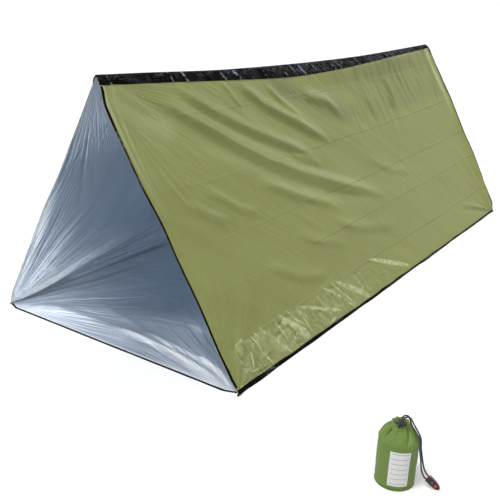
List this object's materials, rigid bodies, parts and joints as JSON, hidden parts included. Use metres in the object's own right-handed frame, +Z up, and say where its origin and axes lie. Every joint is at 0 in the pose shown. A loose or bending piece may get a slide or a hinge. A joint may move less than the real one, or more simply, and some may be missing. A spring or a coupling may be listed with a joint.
{
  "type": "tube tent",
  "caption": "Film survival tube tent pitched as an open-ended triangle with a black ridge strip, beside its filled drawcord stuff sack with a cord lock and whistle.",
  "frame": {"origin": "centre of the floor's underside, on the ground", "axes": "+Z up, +Y along the ridge towards the back end, +X to the right seen from the front end"},
  "size_m": [1.6472, 2.6022, 0.8563],
  "materials": {
    "olive_film": "metallised film, satin",
    "silver_film": "metallised film, gloss",
    "black_film": "gloss film",
    "packed_film": "folded film",
    "sack_cloth": "woven nylon",
    "braided_cord": "braided",
    "lock_plastic": "satin",
    "button_plastic": "satin",
    "whistle_plastic": "satin",
    "whistle_orange": "satin",
    "spring_steel": "bright"
  },
  "bodies": {
    "tent_film": {"floor_panel": "silver_film", "roof_panel_right": "olive_film", "roof_panel_left": "olive_film", "eave_tape_right": "black_film", "eave_tape_left": "black_film", "front_hem_right": "black_film", "front_hem_left": "black_film", "front_hem_floor": "black_film", "back_hem_right": "black_film", "back_hem_left": "black_film", "back_hem_floor": "black_film"},
    "ridge": {"ridge_strip": "black_film"},
    "stuff_sack": {"sack_body": "sack_cloth", "sack_base": "sack_cloth", "base_welt": "sack_cloth", "sack_collar": "sack_cloth", "packed_bundle": "packed_film", "drawcord_loop": "braided_cord", "drawcord_strand_a": "braided_cord", "drawcord_strand_b": "braided_cord", "whistle_front_plate": "whistle_plastic", "whistle_core": "whistle_orange", "whistle_back_plate": "whistle_plastic", "whistle_pin": "spring_steel"},
    "cord_lock": {"cord_lock_barrel": "lock_plastic", "cord_lock_spring": "spring_steel"},
    "lock_button": {"cord_lock_button": "button_plastic"}
  },
  "joints": [
    {"name": "ridge_drop", "type": "slide", "parent": "tent_film", "child": "ridge", "axis": [0, 0, 1], "range_m": [-0.74, 0], "deforming": ["roof_panel_right", "roof_panel_left", "front_hem_right", "front_hem_left", "back_hem_right", "back_hem_left"]},
    {"name": "sack_lift", "type": "slide", "parent": "tent_film", "child": "stuff_sack", "axis": [0, 0, 1], "range_m": [0, 0.3]},
    {"name": "cord_lock_slide", "type": "slide", "parent": "stuff_sack", "child": "cord_lock", "axis": [0.1799, 0.0637, 0.9816], "range_m": [0, 0.005]},
    {"name": "lock_button_press", "type": "slide", "parent": "cord_lock", "child": "lock_button", "axis": [0.9253, 0.3277, -0.1908], "range_m": [0, 0.0025], "stiffness_N_per_m": 300, "springref_m": -0.004, "deforming": ["cord_lock_spring"]}
  ]
}
